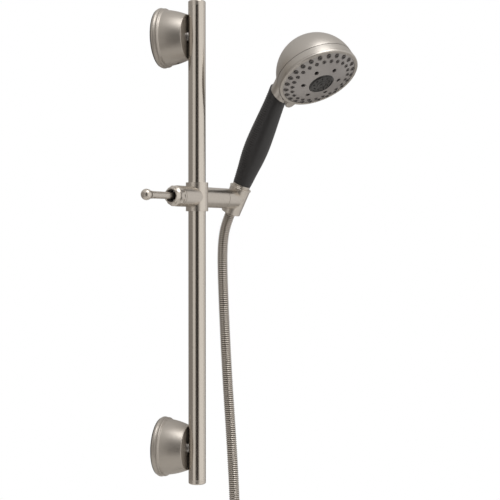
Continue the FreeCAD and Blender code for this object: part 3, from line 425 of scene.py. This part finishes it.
def make_grip():
    """The ribbed rubber sleeve, smooth along its front, with a slanted, rolled top."""
    around, rows = 96, 420
    points = []

    def add_ring(share, inset, rise):
        for step in range(around):
            angle = 2 * math.pi * step / around
            end = GRIP_TOP - math.tan(GRIP_SLANT) * 13.2 * math.cos(angle)
            height = GRIP_BOTTOM + (end - GRIP_BOTTOM) * share
            radius = grip_radius(height) - inset
            if inset == 0:
                ribbed = 1 - smooth_step(math.cos(angle), 0.30, 0.52)
                ribbed *= smooth_step(height, GRIP_BOTTOM + 3, GRIP_BOTTOM + 6)
                ribbed *= 1 - smooth_step(height, end - 8, end - 5)
                wave = 0.5 - 0.5 * math.cos(2 * math.pi * height / RIB_PITCH)
                radius -= RIB_DEPTH * ribbed * wave
            across, along = radius * math.cos(angle), radius * math.sin(angle)
            spot = Vector((across, along, height + rise)) * MM
            points.append(HANDLE @ spot)

    add_ring(0.0, 1.3, 0.1)
    add_ring(0.0, 0.5, 0.05)
    add_ring(0.0, 0.12, 0.35)
    for row in range(rows + 1):
        add_ring(0.006 + 0.988 * row / rows, 0, 0)
    add_ring(1.0, 0.3, -0.1)
    add_ring(1.0, 0.9, 0.0)
    add_ring(1.0, 1.9, 0.0)
    add_ring(1.0, 2.6, -0.6)
    faces = strip_faces(len(points) // around, around)
    grip = new_piece("ribbed_grip", points, faces, [grip_rubber])
    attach(grip, "handset")
    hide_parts("rubber_grip")


# ---------------------------------------------------------------- spray face

FACE_CROWN, FACE_TOP = 126.0, 9.6
INSERT_CROWN, INSERT_TOP = 90, 10.8
NOZZLES_PER_ROW = 24
NOZZLE_ROWS = ((44.5, 2.85, 0.0), (37.3, 2.35, 7.5))
CUP_SIDES = 14
JETS, JET_CIRCLE = 9, 10.3


def face_height(radius):
    """The height of the crowned face at a radius."""
    return FACE_TOP - FACE_CROWN + math.sqrt(FACE_CROWN**2 - radius**2)


def make_nozzle_cups():
    """A soft cup on each of the face's nozzles, with its bore painted dark as painted shade."""
    points, faces, places = [], [], []
    for circle, radius, phase in NOZZLE_ROWS:
        for index in range(NOZZLES_PER_ROW):
            angle = math.radians(360 / NOZZLES_PER_ROW * index + phase)
            middle = Vector((circle * math.cos(angle), circle * math.sin(angle), 0)) * MM
            place = HEAD @ Matrix.Translation(middle)
            top = face_height(circle) + 0.2
            cup = [(radius, top - 0.4), (radius * 0.98, top + 0.2), (radius * 0.85, top + 0.6)]
            cup += [(radius * 0.66, top + 0.65), (radius * 0.5, top + 0.4)]
            cup += [(radius * 0.42, top + 0.05), (0.01, top + 0.03)]
            before = len(faces)
            turned(cup, place, CUP_SIDES, points, faces)
            # The inner wall and flat floor of each cup take the bore's painted shade.
            made, bore = len(faces) - before, 2 * CUP_SIDES
            places += [0] * (made - bore) + [1] * bore
    cups = new_piece("nozzle_cups", points, faces, [nozzle_rubber, nozzle_bore_shade], places)
    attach(cups, "handset")


def make_insert_details():
    """A fine raised ring, a small cap and a circle of jets on the centre insert."""
    points, faces = [], []

    def insert_top(radius):
        return INSERT_TOP - INSERT_CROWN + math.sqrt(INSERT_CROWN**2 - radius**2)

    for middle, half in ((14.2, 0.5), (6.4, 0.45)):
        ring = []
        for step in range(9):
            angle = math.pi * step / 8
            height = insert_top(middle) - 0.1 + half * math.sin(angle)
            ring.append((middle - half * math.cos(angle), height))
        turned(ring, HEAD, 64, points, faces)
    cap = [(3.0, insert_top(3.0) - 0.1), (2.8, insert_top(0) + 0.5), (1.9, insert_top(0) + 0.9)]
    turned(cap + [(0.01, insert_top(0) + 1.0)], HEAD, 32, points, faces)
    for index in range(JETS):
        angle = math.radians(360 / JETS * index)
        middle = Vector((JET_CIRCLE * math.cos(angle), JET_CIRCLE * math.sin(angle), 0)) * MM
        base = insert_top(JET_CIRCLE)
        jet = [(1.3, base - 0.2), (1.15, base + 0.5), (0.6, base + 0.65), (0.5, base + 0.1)]
        turned(jet, HEAD @ Matrix.Translation(middle), CUP_SIDES, points, faces)
    details = new_piece("insert_details", points, faces, [insert_charcoal])
    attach(details, "handset")


make_hose()
make_grip()
make_nozzle_cups()
make_insert_details()


# ---------------------------------------------------------------- studio

FLOOR_HEIGHT = -0.56
CARD_LOW, CARD_HIGH, CARD_REACH = -1.3, 1.5, 2.0


def make_floor():
    """A plain pale round floor under the hanging hose."""
    points, faces = [], []
    flat = Matrix.Translation((0.05, -0.1, FLOOR_HEIGHT))
    turned([(0.1, 0), (250, 0), (500, 0), (780, 0)], flat, 64, points, faces)
    look = surface("floor_pale", (0.82, 0.81, 0.79), 0.6, (60, 60, 60), 1e-4, contrast=0.01)
    new_piece("floor", points, faces, [look])


def make_card(name, first, last, strength, tint):
    """An upright curved card between two angles seen from the object, hidden from the camera."""
    points = []
    steps = 16
    flat_back = Vector((camera_back.x, camera_back.y, 0)).normalized()
    for height in (CARD_LOW, CARD_HIGH):
        for step in range(steps + 1):
            angle = math.radians(first + (last - first) * step / steps)
            way = flat_back * math.cos(angle) + camera_right * math.sin(angle)
            points.append(way * CARD_REACH + Vector((0, 0, height)))
    row = steps + 1
    faces = [(step, step + 1, row + step + 1, row + step) for step in range(steps)]
    material = bpy.data.materials.new(name)
    material.use_nodes = True
    tree = material.node_tree
    tree.nodes.clear()
    glow = tree.nodes.new("ShaderNodeEmission")
    glow.inputs["Color"].default_value = (*tint, 1)
    glow.inputs["Strength"].default_value = strength
    out = tree.nodes.new("ShaderNodeOutputMaterial")
    tree.links.new(glow.outputs["Emission"], out.inputs["Surface"])
    card = new_piece(name, points, faces, [material])
    card.visible_camera = False
    card.visible_shadow = False


def make_world():
    """White behind the object, and a warm grey room in what it reflects, brighter overhead."""
    world = bpy.data.worlds.new("studio")
    bpy.context.scene.world = world
    world.use_nodes = True
    tree = world.node_tree
    tree.nodes.clear()
    link = tree.links.new
    place = tree.nodes.new("ShaderNodeTexCoord")
    split = tree.nodes.new("ShaderNodeSeparateXYZ")
    link(place.outputs["Generated"], split.inputs["Vector"])
    ramp = tree.nodes.new("ShaderNodeValToRGB")
    ramp.color_ramp.elements[0].position = 0.0
    ramp.color_ramp.elements[0].color = (0.30, 0.28, 0.26, 1)
    ramp.color_ramp.elements[1].position = 0.8
    ramp.color_ramp.elements[1].color = (0.72, 0.705, 0.685, 1)
    link(split.outputs["Z"], ramp.inputs["Fac"])
    room = tree.nodes.new("ShaderNodeBackground")
    link(ramp.outputs["Color"], room.inputs["Color"])
    white = tree.nodes.new("ShaderNodeBackground")
    white.inputs["Color"].default_value = (1, 1, 1, 1)
    seen = tree.nodes.new("ShaderNodeLightPath")
    mix = tree.nodes.new("ShaderNodeMixShader")
    out = tree.nodes.new("ShaderNodeOutputWorld")
    link(seen.outputs["Is Camera Ray"], mix.inputs[0])
    link(room.outputs[0], mix.inputs[1])
    link(white.outputs[0], mix.inputs[2])
    link(mix.outputs[0], out.inputs["Surface"])


def make_area_light(name, place, target, size, power):
    light = bpy.data.lights.new(name, "AREA")
    light.shape = "DISK"
    light.size = size
    light.energy = power
    lamp = bpy.data.objects.new(name, light)
    away = Vector(place) - Vector(target)
    facing = away.to_track_quat("Z", "Y").to_matrix().to_4x4()
    lamp.matrix_world = Matrix.Translation(place) @ facing
    lamp.visible_camera = False
    bpy.context.scene.collection.objects.link(lamp)


make_floor()
make_world()
make_card("card_left", -54, -21, 0.80, (1.0, 0.97, 0.93))
make_card("card_dark", -10, 17, 0.02, (1.0, 0.9, 0.8))
make_card("card_right", 30, 98, 1.0, (1.0, 0.98, 0.95))
make_card("card_far_right", 100, 132, 0.75, (1.0, 0.98, 0.96))
make_area_light("overhead", (-0.45, -0.75, 1.5), (0.03, -0.1, 0.2), 1.1, 10)
bpy.context.scene.view_settings.view_transform = "Standard"
